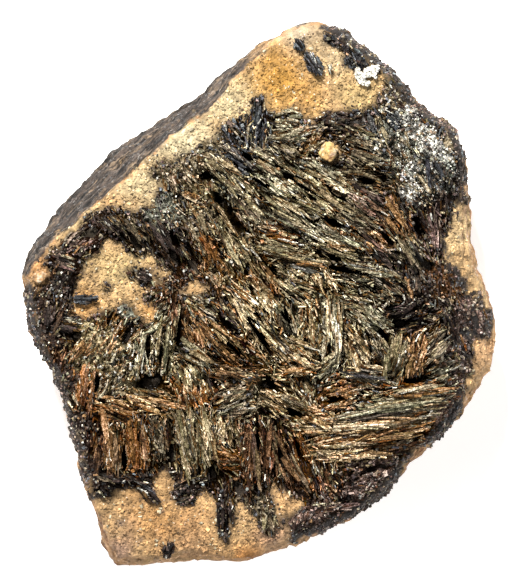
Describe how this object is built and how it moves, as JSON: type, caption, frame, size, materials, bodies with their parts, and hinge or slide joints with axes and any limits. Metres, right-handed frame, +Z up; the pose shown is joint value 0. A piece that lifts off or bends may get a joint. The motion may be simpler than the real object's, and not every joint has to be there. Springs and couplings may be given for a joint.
{
  "type": "betekhtinite specimen",
  "caption": "Mineral specimen: a slab of sandstone lying on its flat broken back, its upper face covered by a mat of grey-green and brown sulphide needles, with a little white calcite.",
  "frame": {"origin": "middle of the slab's flat broken back, which is the surface it rests on", "axes": "+Z up through the crystal face, +Y along the slab towards its pointed end, +X to the right seen from above"},
  "size_m": [0.0566, 0.065, 0.0193],
  "materials": {
    "sandstone": "matte",
    "needle_crystals": "satin",
    "pale_needles": "satin",
    "calcite": "satin"
  },
  "bodies": {
    "root": {"sandstone_slab": "sandstone", "needle_mat": "needle_crystals", "needle_splinter_left": "needle_crystals", "needle_tuft_left": "needle_crystals", "needle_tuft_top_upper": "needle_crystals", "needle_tuft_top_lower": "needle_crystals", "needle_tuft_pale": "pale_needles", "sulphide_spot_base": "needle_crystals", "calcite_nodule_left": "calcite", "calcite_nodule_top": "calcite", "calcite_cluster": "calcite"}
  },
  "joints": []
}
